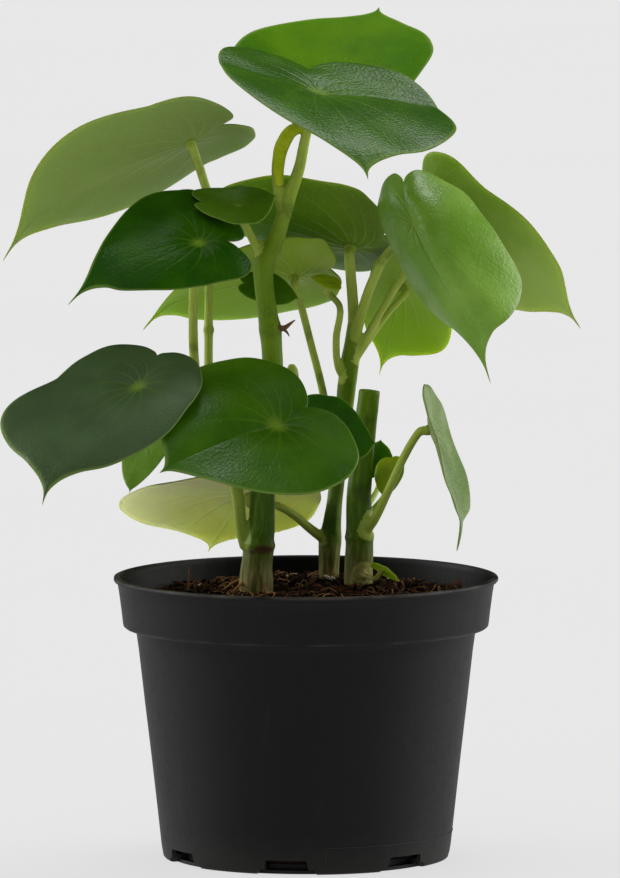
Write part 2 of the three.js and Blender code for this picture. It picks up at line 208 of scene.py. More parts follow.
def leaf_under(name, plain, glow, rib, glow_share=0.5, soft=0.35):
    finish = Finish(name)
    along, reach, vein, rim = blade_marks(finish)
    place = finish.place()
    cloud = finish.grain(place, 30, 4, 0.6)
    fleck = finish.grain(place, 600, 3, 0.7)
    # Towards the tip and in cloudy patches the underside is mixed to the glow colour: painted light
    # shining through the blade.
    lit = finish.fade(along * 0.35 + cloud, 0.3, 0.85) * glow_share
    colour = finish.mix(lit, plain, glow)
    colour = finish.mix(finish.fade(fleck, 0.5, 0.75) * 0.22, colour, rib)
    near = 1 - finish.fade(reach, 0.1, 0.95)
    colour = finish.mix(vein * (0.2 + near * 0.7) * 0.25, colour, rib)
    heart = (1 - finish.fade(reach, 0.02, 0.2)) * 0.5
    colour = finish.mix(heart, colour, glow)
    speck = 1 - finish.fade(finish.cells(place, 130), 0.03, 0.06)
    patch = finish.fade(finish.grain(place, 26, 2), 0.6, 0.72)
    colour = finish.mix(speck * patch * 0.6, colour, tone(98, 84, 42))
    margin = finish.fade(rim, 0.97, 0.998)
    colour = finish.mix(margin * 0.5, colour, tone(88, 74, 40))
    folds = finish.grain(place, 130, 3, 0.5, 0.3)
    skin = finish.grain(place, 1300, 2, 0.6)
    height = vein * (0.3 + near * 0.7) * 0.3 + folds * 0.4 + skin * 0.15
    rough = 0.52 + (cloud - 0.5) * 0.14
    finish.apply(Subsurface_Weight=soft, Subsurface_Radius=(1.0, 1.3, 0.4),
                 Subsurface_Scale=0.003, Specular_IOR_Level=0.25)
    return finish.apply(Base_Color=colour, Roughness=rough,
                        Normal=finish.bump(height, 0.0006, 0.5))


def stem_skin(name, low_green, high_green, slim, streak, dark, gloss=0.42):
    finish = Finish(name)
    lay = finish.node("ShaderNodeAttribute", {"attribute_name": "lay"}, out=1)
    girth = finish.node("ShaderNodeAttribute", {"attribute_name": "girth"}, out=2)
    place = finish.place()
    height = finish.node("ShaderNodeSeparateXYZ", {}, place, out=2)
    wide = finish.grain(finish.stretched(lay, (1, 1, 0.12)), 900, 3, 0.6)
    fine = finish.grain(finish.stretched(lay, (1, 1, 0.05)), 2600, 2, 0.6)
    cloud = finish.grain(place, 90, 4, 0.6)
    fleck = finish.cells(finish.stretched(place, (1, 1, 0.45)), 700)
    green = finish.mix(finish.fade(height, 0.11, 0.165), low_green, high_green)
    colour = finish.mix(finish.fade(girth, 0.0013, 0.003), slim, green)
    colour = finish.mix(finish.fade(wide, 0.45, 0.7) * 0.35, colour, streak)
    colour = finish.mix(finish.fade(fine, 0.52, 0.7) * 0.25, colour, streak)
    colour = finish.mix(finish.fade(cloud, 0.5, 0.72) * 0.55, colour, dark)
    colour = finish.mix((1 - finish.fade(fleck, 0.08, 0.22)) * 0.3, colour, streak)
    foot = 1 - finish.fade(height + (cloud - 0.5) * 0.012, 0.084, 0.102)
    woody = finish.mix(finish.fade(wide, 0.35, 0.65), tone(84, 76, 34), tone(146, 128, 80))
    colour = finish.mix(foot * 0.85, colour, woody)
    scar = finish.node("ShaderNodeAttribute", {"attribute_name": "scar"}, out=2)
    colour = finish.mix(scar, colour, tone(74, 46, 34))
    relief = wide * 0.5 + fine * 0.25 + cloud * 0.3 + scar * 0.2
    rough = gloss + (cloud - 0.5) * 0.2 + foot * 0.25
    finish.apply(Subsurface_Weight=0.15, Subsurface_Radius=(1.0, 1.5, 0.3),
                 Subsurface_Scale=0.002, Specular_IOR_Level=0.16)
    return finish.apply(Base_Color=colour, Roughness=rough,
                        Normal=finish.bump(relief, 0.0005, 0.6))


def moulded_black():
    finish = Finish("moulded_black")
    place = finish.place()
    cloud = finish.grain(place, 26, 4, 0.6)
    spark = finish.grain(place, 900, 3, 0.7)
    fine = finish.grain(place, 2600, 2, 0.6)
    drag = finish.grain(finish.stretched(place, (1, 1, 0.12)), 220, 3, 0.6)
    dust = finish.grain(place, 320, 5, 0.75)
    worn = finish.node("ShaderNodeAttribute", {"attribute_name": "worn"}, out=2)
    height = finish.node("ShaderNodeSeparateXYZ", {}, place, out=2)
    colour = finish.mix(finish.fade(cloud, 0.35, 0.7), tone(7, 7, 7), tone(12, 12, 12))
    colour = finish.mix(finish.fade(dust, 0.58, 0.8) * 0.3, colour, tone(44, 43, 41))
    colour = finish.mix(finish.fade(drag, 0.6, 0.75) * 0.15, colour, tone(36, 36, 36))
    low = 1 - finish.fade(height + (dust - 0.5) * 0.01, 0.001, 0.014)
    colour = finish.mix(low * 0.3, colour, tone(44, 41, 37))
    colour = finish.mix(worn * (0.2 + dust * 0.5), colour, tone(96, 90, 84))
    rough = 0.57 + (cloud - 0.5) * 0.14 + finish.fade(dust, 0.5, 0.8) * 0.16
    relief = spark * 0.5 + fine * 0.35 + drag * 0.3
    return finish.apply(Base_Color=colour, Roughness=rough, Specular_IOR_Level=0.2,
                        Normal=finish.bump(relief, 0.00025, 0.55))


def peat():
    finish = Finish("peat")
    place = finish.place()
    clump = finish.grain(place, 120, 5, 0.7)
    crumb = finish.cells(place, 420)
    strand = finish.grain(finish.stretched(place, (1, 0.3, 1)), 700, 4, 0.7, 1.2)
    colour = finish.ramp(clump, (0.3, tone(2, 1, 0)), (0.55, tone(8, 4, 2)),
                         (0.8, tone(36, 20, 10)))
    colour = finish.mix(finish.fade(strand, 0.55, 0.72) * 0.6, colour, tone(88, 56, 32))
    colour = finish.mix((1 - finish.fade(crumb, 0.1, 0.4)) * 0.5, colour, tone(18, 11, 8))
    relief = clump + strand * 0.7 + crumb * 0.6
    return finish.apply(Base_Color=colour, Roughness=0.85 + clump * 0.1, Specular_IOR_Level=0.08,
                        Normal=finish.bump(relief, 0.0012, 0.9))


def litter(name, first, second, dark, scale=300):
    """Bark, root and stone: two tones, a darker grime and a rough skin."""
    finish = Finish(name)
    place = finish.place()
    cloud = finish.grain(place, scale * 0.5, 4, 0.6)
    strand = finish.grain(finish.stretched(place, (1, 0.35, 1)), scale * 3, 3, 0.7, 0.8)
    colour = finish.mix(finish.fade(cloud, 0.3, 0.7), first, second)
    colour = finish.mix(finish.fade(strand, 0.5, 0.75) * 0.6, colour, dark)
    return finish.apply(Base_Color=colour, Roughness=0.75 + strand * 0.2, Specular_IOR_Level=0.15,
                        Normal=finish.bump(cloud + strand, 0.0006, 0.7))


rib = tone(150, 166, 96)
spot = tone(112, 142, 36)
finishes = {
    "deep_top": leaf_top("deep_top", tone(22, 62, 0), tone(38, 82, 0), spot, 0.34, 0.06),
    "broad_top": leaf_top("broad_top", tone(38, 78, 0), tone(58, 98, 2), spot, 0.3, 0.17),
    # The next finish, for the low left leaf, is a dull green with a grey-blue tint that is painted
    # reflection of the softbox.
    "blue_top": leaf_top("blue_top", tone(48, 68, 34), tone(60, 82, 44), spot, 0.42, 0.2),
    # lit_top is a lighter copy of the leaf-top green, for the crown leaf: painted light.
    "lit_top": leaf_top("lit_top", tone(58, 104, 0), tone(80, 122, 0), spot, 0.5, 0.03, 0.2),
    "fresh_top": leaf_top("fresh_top", tone(92, 134, 26), tone(122, 160, 58), spot, 0.34, 0.34),
    # sheeny_top: its pale grey-green second colour is painted sheen.
    "sheeny_top": leaf_top("sheeny_top", tone(90, 118, 44), tone(130, 150, 92), spot, 0.42),
    "small_top": leaf_top("small_top", tone(50, 82, 0), tone(66, 100, 0), spot, 0.45, 0.12, 0.3),
    "young_top": leaf_top("young_top", tone(110, 132, 0), tone(142, 154, 10), spot, 0.42, 0.2, 0.4),
    # In each underside finish the second colour is the glow: painted light shining through the blade.
    "pale_under": leaf_under("pale_under", tone(124, 142, 76), tone(136, 156, 76), rib),
    "glow_under": leaf_under("glow_under", tone(92, 114, 24), tone(96, 128, 2), rib, 0.9, 0.7),
    "lit_under": leaf_under("lit_under", tone(132, 156, 46), tone(136, 162, 22), rib, 0.9, 0.6),
    "spotty_under": leaf_under("spotty_under", tone(116, 146, 14), tone(160, 176, 96), rib, 0.8),
    # The low back leaf's underside: its own pale tone made paler still with painted light shining
    # through it.
    "milky_under": leaf_under("milky_under", tone(220, 213, 190), tone(212, 206, 176),
                              tone(226, 228, 196), 0.5, 0.8),
    "young_under": leaf_under("young_under", tone(138, 156, 30), tone(150, 164, 12), rib, 0.7),
    "stem_green": stem_skin("stem_green", tone(62, 96, 0), tone(96, 126, 8), tone(164, 182, 76),
                            tone(120, 144, 24), tone(40, 64, 0)),
    "young_sheath": litter("young_sheath", tone(150, 170, 6), tone(176, 186, 40), tone(104, 132, 0)),
    "moulded_black": moulded_black(),
    "peat": peat(),
    "bark": litter("bark", tone(44, 24, 12), tone(86, 50, 26), tone(16, 9, 4)),
    "root": litter("root", tone(112, 72, 34), tone(164, 120, 72), tone(58, 34, 16)),
    "stone": litter("stone", tone(206, 198, 182), tone(172, 160, 140), tone(120, 108, 90)),
    "dry": litter("dry", tone(84, 62, 40), tone(140, 112, 78), tone(46, 34, 24), 500),
}


# ---------- meshes ----------
def placed(name, data):
    item = bpy.data.objects.new(name, data)
    bpy.context.scene.collection.objects.link(item)
    return item


def add_piece(name, mesh, slot, *materials, stands_for=None):
    piece = placed(name, mesh)
    for material in materials:
        mesh.materials.append(finishes[material])
    mesh.shade_smooth()
    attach(piece, "root")
    if stands_for:
        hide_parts(stands_for)
    return piece


def mesh_from(name, points, faces):
    mesh = bpy.data.meshes.new(name)
    mesh.from_pydata([tuple(point) for point in points], [], faces)
    mesh.update()
    return mesh


def mark(mesh, name, values, kind="FLOAT"):
    layer = mesh.attributes.new(name, kind, "POINT")
    key = "value" if kind == "FLOAT" else "vector"
    layer.data.foreach_set(key, np.asarray(values, np.float32).ravel())


def smooth_path(points, steps):
    """A Catmull-Rom line through points, steps places per span."""
    points = np.asarray(points, float)
    padded = np.vstack([2 * points[0] - points[1], points, 2 * points[-1] - points[-2]])
    places = []
    for index in range(1, len(padded) - 2):
        before, here, there, after = padded[index - 1:index + 3]
        for step in range(steps):
            share = step / steps
            curve = 2 * here + (there - before) * share
            curve = curve + (2 * before - 5 * here + 4 * there - after) * share ** 2
            curve = curve + (3 * here - before - 3 * there + after) * share ** 3
            places.append(curve / 2)
    places.append(padded[-2])
    return np.array(places)


# ---------- leaves ----------
half_blade = [
    (1, 0), (0.955, 0.03), (0.91, 0.12), (0.84, 0.3), (0.72, 0.55), (0.52, 0.8), (0.3, 0.97),
    (0.05, 1), (-0.3, 0.93), (-0.68, 0.76), (-0.95, 0.48), (-1, 0.25),
]

# Each leaf: where the petiole meets it, then the reach of tip, back, left and right, in mm.
leaves = {
    "leaf_crown_front": dict(
        seat=(4, -4, 240), tip=(15, -44, -20), back=(-4, 20, 7), left=(37, -6, -5.5),
        right=(-31, 5.5, 8), hook=(0, -3, -4), notch=0.35, arch=2, lobe_left=4, lobe_right=1,
        belly_left=0.15, belly_right=0.15, skins=("broad_top", "pale_under")),
    "leaf_crown_back": dict(
        seat=(6, 14, 239.5), tip=(18, 40, 22), back=(-3, -7, -5), left=(-30, 2, 10),
        right=(29.5, 4, 3.5), hook=(-1, -2, 1), notch=0.2, arch=1, belly_right=0.05,
        skins=("lit_top", "pale_under")),
    "leaf_upper_left": dict(
        seat=(-37, 10, 224), tip=(-56, -12, -29.5), back=(17, 4, 5), left=(-12, -18, 11.5),
        right=(9, 16, -8), hook=(-1, 0, -8), notch=0.75, arch=2, belly_left=0.4, belly_right=0.6,
        skins=("deep_top", "pale_under")),
    "leaf_mid_left": dict(
        seat=(-33, -16, 194), tip=(-36.5, -16, -11.5), back=(15, 6, -3), left=(2, -10, -13),
        right=(-7, 20, 14), hook=(-4, 0, -7), notch=0.6, arch=2, belly_right=0.1,
        skins=("deep_top", "pale_under")),
    "leaf_small_left": dict(
        seat=(-21, -2, 204), tip=(12, -1, 3), back=(-14, -2, 2), left=(-2, 10, 5), right=(1, -10, -5),
        notch=0.2, belly_right=0.3, dimple=0.5, young=True, skins=("small_top", "young_under")),
    "leaf_inner_back": dict(
        seat=(14, 30, 190), tip=(-50, -4, 12), back=(12, -4, 4), left=(-10, -18, 21),
        right=(1, 16, -11), notch=0.3, lobe_right=2, skins=("deep_top", "glow_under")),
    "leaf_back_left": dict(
        seat=(-4, 26, 181), tip=(-46, 4, -13), back=(14, -2, 1), left=(-2, -16, 12),
        right=(3, 18, -13.5), hook=(-1, 0, -6), notch=0.3, arch=1, belly_left=0.1, belly_right=0.1,
        skins=("deep_top", "lit_under")),
    "leaf_right_front": dict(
        seat=(33, -12, 199), tip=(23, -12, -39.5), back=(-2, 18, 15), left=(27, 4, -5),
        right=(-8, 22, -6), hook=(1, 0, -9), notch=0.3, arch=1, bulge_left=3, belly_left=0.15,
        belly_right=0.15, skins=("fresh_top", "pale_under")),
    "leaf_right_back": dict(
        seat=(45, 22, 199), tip=(40, -6, -31), back=(-10, 4, 15.5), left=(-7, 18, -17),
        right=(11, -16, 10), hook=(1, 0, -4), notch=0.3, arch=1, belly_left=0.1, belly_right=0.05,
        skins=("deep_top", "spotty_under")),
    "leaf_right_under": dict(
        seat=(30, 38, 176), tip=(-6, 12, -25), back=(0, -5, 10), left=(-11, -6, -1), right=(16, 8, -15),
        hook=(-1, 0, -5), notch=0.3, skins=("deep_top", "lit_under")),
    "leaf_low_left": dict(
        seat=(-52, -34, 151), tip=(-30, -18, -29.5), back=(7, 16, 10), left=(17, -8, -5),
        right=(-25.5, 14, 1), hook=(1, 0, -6), notch=0.3, arch=2, belly_left=0.35, belly_right=0.4,
        skins=("blue_top", "pale_under")),
    "leaf_low_front": dict(
        seat=(-9, -34, 139), tip=(-35, -20, -12), back=(12.5, 8, 6.5), left=(20, -16, -16.5),
        right=(-24, 21, 15.5), hook=(-1, 0, -1), notch=0.35, arch=1, bulge_right=4, belly_left=0.1,
        belly_right=0.1, skins=("broad_top", "pale_under")),
    "leaf_low_back": dict(
        seat=(-18, 24, 113), tip=(-12, 24, -20), back=(3, -14, 5), left=(-39, -6, -2),
        right=(22.3, 8, -5.5), hook=(-1, 0, -3), notch=0.3, belly_right=0.15,
        skins=("deep_top", "milky_under")),
    "leaf_right_low": dict(
        seat=(40.5, 8, 133.5), tip=(9.5, -6, -33), back=(-3.5, 0, 14), left=(5.5, 20, -5),
        right=(-0.5, -22, -1), hook=(-3, 0, -5), notch=0.1, belly_left=0.4, belly_right=0.05,
        skins=("sheeny_top", "pale_under")),
    "leaf_tucked_low": dict(
        seat=(-50, -2, 130), tip=(-5, -8, -15), back=(3, 3, 5), left=(9, -1, 2), right=(-6, 2, 2),
        notch=0.2, dimple=0.4, young=True, skins=("fresh_top", "young_under")),
    "leaf_behind_stem": dict(
        seat=(-13, 9, 178), tip=(11, -1, -4), back=(-8, 0, 1), left=(1, 4, 4), right=(-1, -3, -5),
        notch=0.2, dimple=0.4, young=True, skins=("small_top", "young_under")),
    "leaf_tucked_centre": dict(
        seat=(8, -14, 136), tip=(14, -2, -5), back=(-9, 1, 3), left=(-2, 5, 9.5), right=(1, -6, -9),
        notch=0.2, belly_left=0.3, dimple=0.4, young=True, skins=("deep_top", "young_under")),
    "leaf_young_dark": dict(
        seat=(22.5, 30, 120), tip=(1, -1, 8), back=(-1, 2, -5), left=(-5, 1, 1), right=(5, -2, -1),
        notch=0.2, dimple=0.3, young=True, skins=("small_top", "young_under")),
    "leaf_young_bright": dict(
        seat=(25.8, 20, 119), tip=(-1, -5, -8.5), back=(1, 3, 4), left=(5, -1, 1), right=(-4.2, 2, 0),
        notch=0.2, dimple=0.3, young=True, skins=("young_top", "young_under")),
    "leaf_bract": dict(
        seat=(8, 20, 178), tip=(-7, -2, 2), back=(3, 1, -1), left=(0, -2, -2), right=(0, 2, 2),
        notch=0.15, dimple=0.2, young=True, skins=("young_top", "young_under")),
    "leaf_sprout": dict(
        seat=(24, 8, 89), tip=(5, -2, -3.5), back=(-4, 1, 2), left=(-1, 2, -1), right=(1, -2, 1),
        notch=0.15, dimple=0.2, young=True, skins=("small_top", "young_under")),
}


def blade_outline(leaf, steps):
    sides = []
    for side, flip in (("right", 1), ("left", -1)):
        half = half_blade + [(leaf["notch"] / 2 - 1, 0.07), (leaf["notch"] - 1, 0)]
        line = smooth_path(half, steps)
        forward = line[:, 0].clip(0, 1)
        line[:, 1] *= flip * (1 + leaf.get("belly_" + side, 0) * 6.75 * forward ** 2 * (1 - forward))
        sides.append(line)
    return np.vstack([sides[0][:-1], sides[1][::-1][:-1]])


def bent(value, softness):
    root = np.sqrt(value * value + softness * softness) - softness
    return (root / (math.sqrt(1 + softness * softness) - softness))[..., None]


def blade_points(leaf, along, across):
    """The blade's middle surface in mm, as in the solid model."""
    tip, back, left, right = (np.array(leaf[key], float) for key in ("tip", "back", "left", "right"))
    up = np.cross(right - left, tip - back)
    up /= np.linalg.norm(up)
    points = np.array(leaf["seat"], float) + along[..., None] * (tip - back) / 2
    points = points + bent(along, 0.4) * (tip + back) / 2
    points = points + across[..., None] * (right - left) / 2 + bent(across, 0.8) * (right + left) / 2
    forward = along.clip(0, None)
    behind = (-along).clip(0, None)
    reach = np.abs(across)
    bulge = np.where(across > 0, leaf.get("bulge_right", 0), leaf.get("bulge_left", 0))
    lobe = np.where(across > 0, leaf.get("lobe_right", 0), leaf.get("lobe_left", 0))
    lift = 4 * leaf.get("arch", 0) * forward * (1 - forward)
    lift = lift + 4 * bulge * reach * (1 - reach).clip(0, None) + 2 * lobe * behind * reach
    lift = lift - leaf.get("dimple", 1.5) * np.exp(-16 * (along ** 2 + across ** 2))
    points = points + lift[..., None] * up
    near_tip = ((along - 0.8) / 0.2).clip(0, None)
    return points + (near_tip ** 2)[..., None] * np.array(leaf.get("hook", (0, 0, 0)), float)


def blade_normals(leaf, along, across):
    step = 0.03
    forward = blade_points(leaf, along + step, across) - blade_points(leaf, along - step, across)
    sideways = blade_points(leaf, along, across + step) - blade_points(leaf, along, across - step)
    normals = np.cross(sideways, forward)
    return normals / np.linalg.norm(normals, axis=-1, keepdims=True)


def blade_mesh(name, leaf, seed):
    """Top and underside meet in a rounded edge; veins, ripples and a wavy margin are modelled."""
    chance = np.random.default_rng(seed)
    young = leaf.get("young", False)
    outline = blade_outline(leaf, 3 if young else 6)
    rays = len(outline)
    rings = 14 if young else 30
    shares = np.sin(np.linspace(0, math.pi / 2, rings + 1))[1:]
    along = shares[:, None] * outline[None, :, 0]
    across = shares[:, None] * outline[None, :, 1]
    rim = np.repeat(shares[:, None], rays, axis=1)
    along = np.concatenate([[0.0], along.ravel()])
    across = np.concatenate([[0.0], across.ravel()])
    rim = np.concatenate([[0.0], rim.ravel()])
    middle = blade_points(leaf, along, across)
    normals = blade_normals(leaf, along * 0.97, across * 0.97)
    ripple = np.zeros(len(along))
    for turn in range(7):
        swing, slope = chance.uniform(2.5, 9, 2) * chance.choice([-1, 1], 2)
        ripple += np.sin(swing * along + slope * across + chance.uniform(0, 6.3)) / (2 + turn)
    around = np.arctan2(across, along)
    reach = np.hypot(along, across)
    wave = np.sin(around * 5 + chance.uniform(0, 6)) + 0.6 * np.sin(around * 9 + chance.uniform(0, 6))
    size = 0.35 if young else 1.0
    middle = middle + normals * (size * (0.32 * ripple * rim + 0.3 * wave * rim ** 3))[:, None]
    fan = around / (1 - 0.28 * reach.clip(0, 1.2))
    offset = np.abs((fan + 0.27) % 0.54 - 0.27) * reach
    vein = np.exp(-(offset / 0.022) ** 2) * (1 - rim ** 4) * (0.35 + 0.65 * np.exp(-2 * reach))
    half = (0.42 if young else 0.68) * np.sqrt((1 - rim ** 16).clip(0, 1))
    body = half * (1 - 0.22 * rim)
    top = middle + normals * (body - size * 0.07 * vein)[:, None]
    under = middle - normals * (body + size * 0.12 * vein)[:, None]
    inner = len(along) - rays
    points = np.vstack([top, under[:inner]]) * MM
    faces = []
    sides = []

    def below(index):
        return index + len(along) if index < inner else index

    for ray in range(rays):
        after = (ray + 1) % rays
        faces.append((0, 1 + after, 1 + ray))
        faces.append((below(0), below(1 + ray), below(1 + after)))
        sides += [0, 1]
        for ring in range(rings - 1):
            low = 1 + ring * rays
            high = low + rays
            faces.append((low + ray, low + after, high + after, high + ray))
            corners = (low + ray, high + ray, high + after, low + after)
            faces.append(tuple(below(index) for index in corners))
            sides += [0, 1]
    mesh = mesh_from(name, points, faces)
    mesh.polygons.foreach_set("material_index", sides)
    coordinates = np.stack([along, across], -1) / 2 + 0.5
    coordinates = np.vstack([coordinates, coordinates[:inner]])
    layer = mesh.uv_layers.new(name="blade")
    corners = np.zeros(len(mesh.loops), int)
    mesh.loops.foreach_get("vertex_index", corners)
    layer.data.foreach_set("uv", coordinates[corners].astype(np.float32).ravel())
    mark(mesh, "rim", np.concatenate([rim, rim[:inner]]))
    return mesh


for seed, (name, leaf) in enumerate(leaves.items()):
    slot = "young_leaf" if leaf.get("young") else "leaf"
    add_piece(name + "_blade", blade_mesh(name, leaf, seed), slot, *leaf["skins"], stands_for=name)


# ---------- stems ----------
def petiole(leaf_name, *stations):
    """Stations in mm up to the leaf's underside, where the stalk widens into the blade."""
    leaf = leaves[leaf_name]
    here = np.zeros(1)
    seat = blade_points(leaf, here, here)[0]
    down = -blade_normals(leaf, here, here)[0]
    radius = stations[-1][3]
    flare = ((4.2, 1), (1.6, 1.12), (0.5, 1.5))
    ends = [(*(seat + down * depth), radius * wide) for depth, wide in flare]
    return [*stations, *ends]


stems = {
    "stem_left": [
        [(-15.6, 0, 62, 5), (-15.6, 0, 80, 5.3), (-15.6, 0, 86, 5.4), (-15.2, 0, 93, 4.8),
         (-14.8, 0, 96.5, 4.9), (-14.6, 0, 98, 5.3), (-14.4, 0, 100, 4.6), (-13.8, 0, 106, 4.1),
         (-13.4, 0, 125, 3.9), (-11.5, 0, 142, 3.6), (-10.5, 0, 152, 3.4), (-10.7, 0, 160, 3.3),
         (-11.2, 0, 165.5, 3.6), (-11.8, 0, 169, 3.2), (-13.2, 0, 180, 3.1), (-12.9, 0, 187, 3.5),
         (-10.4, 0, 191, 2.9), (-8.2, 0, 197, 2.5), (-5.4, 0, 206, 2.2)],
        [(-18.5, 0, 97, 2.2), (-20.4, -0.8, 104, 1.9), (-21.4, -2, 114, 2), (-24, -2, 124, 2.1),
         (-30, -1, 140, 1.9)],
        petiole("leaf_crown_front", (-7, 0, 201, 2.1), (-4.4, 0, 209, 2.1), (-2, 0, 216, 1.8),
                (0, -1, 226, 1.6)),
        petiole("leaf_crown_back", (-7, 0, 202, 2), (-8.4, 1, 208, 1.9), (-8.8, 2, 216, 2),
                (-7.4, 4, 223, 1.8), (-3.6, 7, 227.5, 1.6)),
        petiole("leaf_small_left", (-13, 0, 188, 1.6), (-16.5, 0, 193, 1.4), (-19, 0, 198, 1.2)),
        petiole("leaf_low_front", (-13.6, 0, 116, 1.8), (-12, -9, 121, 1.6), (-10, -20, 128, 1.5)),
        petiole("leaf_behind_stem", (-12, 1, 164, 1.1), (-12.6, 5, 168, 0.9)),
        petiole("leaf_mid_left", (-28, -1, 134, 1.7), (-33.5, -1, 148, 1.6), (-35, -2, 160, 1.5),
                (-35, -4, 178, 1.5)),
        petiole("leaf_upper_left", (-28, -1, 134, 1.7), (-30.2, 3, 148, 1.5), (-30.4, 5, 162, 1.45),
                (-30.4, 5.5, 164.5, 1.9), (-30.4, 6, 167, 1.45), (-30.2, 8, 184, 1.45),
                (-30.2, 10.5, 203, 1.4), (-32, 9.5, 211, 1.45)),
        petiole("leaf_low_left", (-23, -2, 119, 1.8), (-34, -2, 129, 1.6), (-43, -9, 138, 1.5)),
        petiole("leaf_tucked_low", (-26, -1, 128, 1.1), (-38, 4, 133, 0.9)),
        petiole("leaf_tucked_centre", (-12.6, -2, 124, 1.2), (-3, -8, 127, 1)),
        [(-11, 1, 138, 1.4), (-6.4, 3, 143, 1.9), (-4.6, 3.5, 148, 2.3), (-4.4, 3.5, 152, 1.9),
         (-4.5, 3.5, 154, 0.9)],
    ],
    "stem_middle": [
        [(7, 33, 62, 3), (7.1, 33, 84, 3.2), (7.3, 32, 92, 3.5), (7.6, 32, 96, 3.6),
         (8.2, 31, 102, 2.9), (9.2, 31, 110, 2.5), (11.3, 30, 130, 2.6), (13, 29, 147, 3),
         (14.5, 28, 157, 2.8), (15, 28, 164, 2.2)],
        petiole("leaf_inner_back", (14.8, 28, 160, 2), (14.8, 28, 168, 1.8), (14.2, 28, 177, 1.7)),
        petiole("leaf_right_front", (14.5, 28, 157, 2), (17, 24, 167, 1.7), (20.5, 18, 178, 1.6),
                (25, 15, 187, 1.5), (30, 10, 192, 1.4)),
        petiole("leaf_right_back", (14.6, 28, 153, 1.5), (18.7, 27, 160, 1.3), (25, 26, 171, 1.2),
                (33, 22, 184, 1.2)),
        petiole("leaf_right_under", (14.6, 28, 152, 1.3), (20, 28, 160, 1.2), (26, 30, 168, 1.1)),
        petiole("leaf_back_left", (9.6, 31, 116, 1.6), (7.6, 31, 130, 1.4), (5, 30, 144, 1.3),
                (1.5, 28, 158, 1.25), (-1.5, 25, 170, 1.25)),
        petiole("leaf_low_back", (7.2, 32, 95, 1.8), (1.5, 29, 99.5, 1.5), (-4, 25, 104.5, 1.35),
                (-10, 21, 108, 1.25)),
        petiole("leaf_bract", (13, 29, 146, 1.4), (10, 27, 151, 1.2), (9.4, 25, 160, 1.2),
                (10.6, 22, 170, 1.1)),
    ],
    "stem_right": [
        [(16.4, 18, 62, 4.4), (16.4, 18, 85, 4.6), (16.7, 18, 96, 4.4), (16.7, 18, 98.5, 4.8),
         (16.6, 18, 101, 4.2), (16.6, 18, 112, 3.9), (17.8, 18, 126, 3.6), (19.8, 18, 144.5, 3.4)],
        petiole("leaf_right_low", (17.5, 17, 99, 1.9), (21.5, 14, 104.5, 1.5), (25, 12, 112, 1.4),
                (30.4, 10, 124, 1.35)),
        petiole("leaf_young_bright", (18.5, 19, 104, 1.3), (24, 23.5, 110, 0.9)),
        petiole("leaf_young_dark", (18, 20, 106, 1.2), (22.5, 34, 112, 0.9)),
        petiole("leaf_sprout", (17, 15, 87, 1), (20, 10, 86.4, 0.8)),
    ],
}


def stalk_line(stations, steps=6):
    path = smooth_path(stations, steps)
    tangents = np.gradient(path[:, :3], axis=0)
    tangents /= np.linalg.norm(tangents, axis=1, keepdims=True)
    side = np.cross(tangents[0], (0.3, 1, 0.1))
    sides = []
    for tangent in tangents:
        side = side - tangent * np.dot(side, tangent)
        side = side / np.linalg.norm(side)
        sides.append(side)
    return path, tangents, np.array(sides)


def tube(path, tangents, sides, corners=20, chance=None):
    """Points and faces of a closed round tube along a path of (x, y, z, radius)."""
    points = []
    for row, tangent, side in zip(path, tangents, sides):
        other = np.cross(tangent, side)
        for corner in range(corners):
            angle = 2 * math.pi * corner / corners
            swell = 1 + (chance(row, angle) if chance else 0)
            spoke = math.cos(angle) * side + math.sin(angle) * other
            points.append(row[:3] + spoke * row[3] * swell)
    rings = len(path)
    faces = []
    for ring in range(rings - 1):
        for corner in range(corners):
            after = (corner + 1) % corners
            low = ring * corners
            faces.append((low + corner, low + after, low + corners + after, low + corners + corner))
    faces.append(tuple(range(corners))[::-1])
    faces.append(tuple(range((rings - 1) * corners, rings * corners)))
    return points, faces


def gathered(parts):
    """Points and faces of several bodies as one list of each."""
    points, faces = [], []
    for part, sides in parts:
        faces += [tuple(index + len(points) for index in face) for face in sides]
        points += part
    return points, faces


def ribbed(row, angle):
    """Slightly uneven, faintly ridged stem skin."""
    bumps = noise.noise(Vector((math.cos(angle) * 1.3, math.sin(angle) * 1.3, row[2] * 0.12 + row[0])))
    ridges = math.sin(angle * 7 + row[2] * 0.05) * 0.012
    return 0.05 * bumps + ridges * min(row[3] / 3, 1)


def stem_piece(name, branches, voxel):
    lines = [stalk_line(branch) for branch in branches]
    points, faces = gathered(tube(*line, chance=ribbed) for line in lines)
    rough = placed(name + "_rough", mesh_from(name, np.array(points) * MM, faces))
    weld = rough.modifiers.new("weld", "REMESH")
    weld.mode = "VOXEL"
    weld.voxel_size = voxel * MM
    ease = rough.modifiers.new("ease", "SMOOTH")
    ease.factor = 0.5
    ease.iterations = 5
    bpy.context.view_layer.update()
    whole = rough.evaluated_get(bpy.context.evaluated_depsgraph_get())
    mesh = bpy.data.meshes.new_from_object(whole)
    bpy.data.objects.remove(rough)
    mesh.name = name
    lay_along(mesh, lines)
    return add_piece(name + "_skin", mesh, "stem", "stem_green", stands_for=name)


